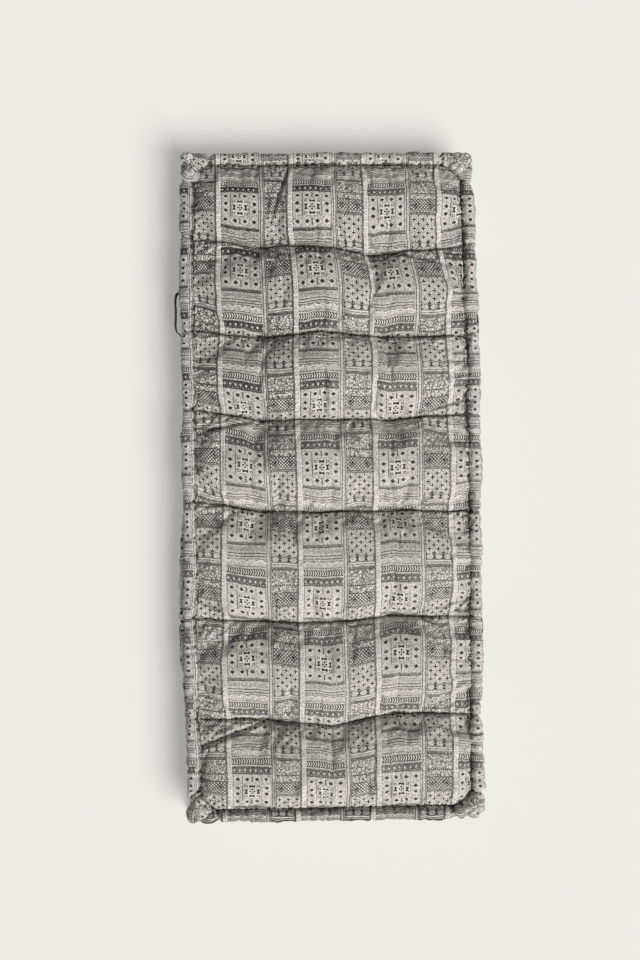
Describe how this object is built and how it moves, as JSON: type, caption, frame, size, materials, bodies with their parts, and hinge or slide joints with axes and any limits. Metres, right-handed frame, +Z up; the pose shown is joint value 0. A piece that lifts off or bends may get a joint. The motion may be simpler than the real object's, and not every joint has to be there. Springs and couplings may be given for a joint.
{
  "type": "futon mattress",
  "caption": "Long, low, hand-tufted floor mattress in block-printed cotton, with a rolled and stitched edge all round and webbing carry handles on its long sides.",
  "frame": {"origin": "on the floor, below the middle of the mattress", "axes": "+Z up, +Y along the length to the head end, +X across the width to the right side"},
  "size_m": [0.7426, 1.6, 0.118],
  "materials": {
    "printed_cotton": "matte",
    "wadding": "matte",
    "twine": "matte",
    "webbing": "matte"
  },
  "bodies": {
    "mattress": {"top_panel": "printed_cotton", "bottom_panel": "printed_cotton", "upper_wadding": "wadding", "core_wadding": "wadding", "lower_wadding": "wadding", "side_wall_left": "printed_cotton", "side_wall_right": "printed_cotton", "side_wall_head": "printed_cotton", "side_wall_foot": "printed_cotton", "upper_edge_roll_left": "printed_cotton", "lower_edge_roll_left": "printed_cotton", "upper_edge_roll_right": "printed_cotton", "lower_edge_roll_right": "printed_cotton", "upper_edge_roll_head": "printed_cotton", "lower_edge_roll_head": "printed_cotton", "upper_edge_roll_foot": "printed_cotton", "lower_edge_roll_foot": "printed_cotton", "upper_seam_twine": "twine", "lower_seam_twine": "twine", "tuft_tie_left_1": "twine", "tuft_tie_right_1": "twine", "tuft_tie_left_2": "twine", "tuft_tie_right_2": "twine", "tuft_tie_left_3": "twine", "tuft_tie_right_3": "twine", "tuft_tie_left_4": "twine", "tuft_tie_right_4": "twine", "tuft_tie_left_5": "twine", "tuft_tie_right_5": "twine", "tuft_tie_left_6": "twine", "tuft_tie_right_6": "twine", "handle_left_head_sewn_end_a": "webbing", "handle_left_head_sewn_end_b": "webbing", "handle_left_foot_sewn_end_a": "webbing", "handle_left_foot_sewn_end_b": "webbing", "handle_right_head_sewn_end_a": "webbing", "handle_right_head_sewn_end_b": "webbing", "handle_right_foot_sewn_end_a": "webbing", "handle_right_foot_sewn_end_b": "webbing"},
    "handle_left_head": {"handle_left_head_strap": "webbing"},
    "handle_left_foot": {"handle_left_foot_strap": "webbing"},
    "handle_right_head": {"handle_right_head_strap": "webbing"},
    "handle_right_foot": {"handle_right_foot_strap": "webbing"}
  },
  "joints": [
    {"name": "handle_left_head_swing", "type": "hinge", "parent": "mattress", "child": "handle_left_head", "pos_m": [-0.349, 0.415, 0.05], "axis": [0, 1, 0], "range_deg": [-35, 35]},
    {"name": "handle_left_foot_swing", "type": "hinge", "parent": "mattress", "child": "handle_left_foot", "pos_m": [-0.349, -0.385, 0.05], "axis": [0, 1, 0], "range_deg": [-35, 35]},
    {"name": "handle_right_head_swing", "type": "hinge", "parent": "mattress", "child": "handle_right_head", "pos_m": [0.349, 0.415, 0.05], "axis": [0, -1, 0], "range_deg": [-35, 35]},
    {"name": "handle_right_foot_swing", "type": "hinge", "parent": "mattress", "child": "handle_right_foot", "pos_m": [0.349, -0.385, 0.05], "axis": [0, -1, 0], "range_deg": [-35, 35]}
  ]
}
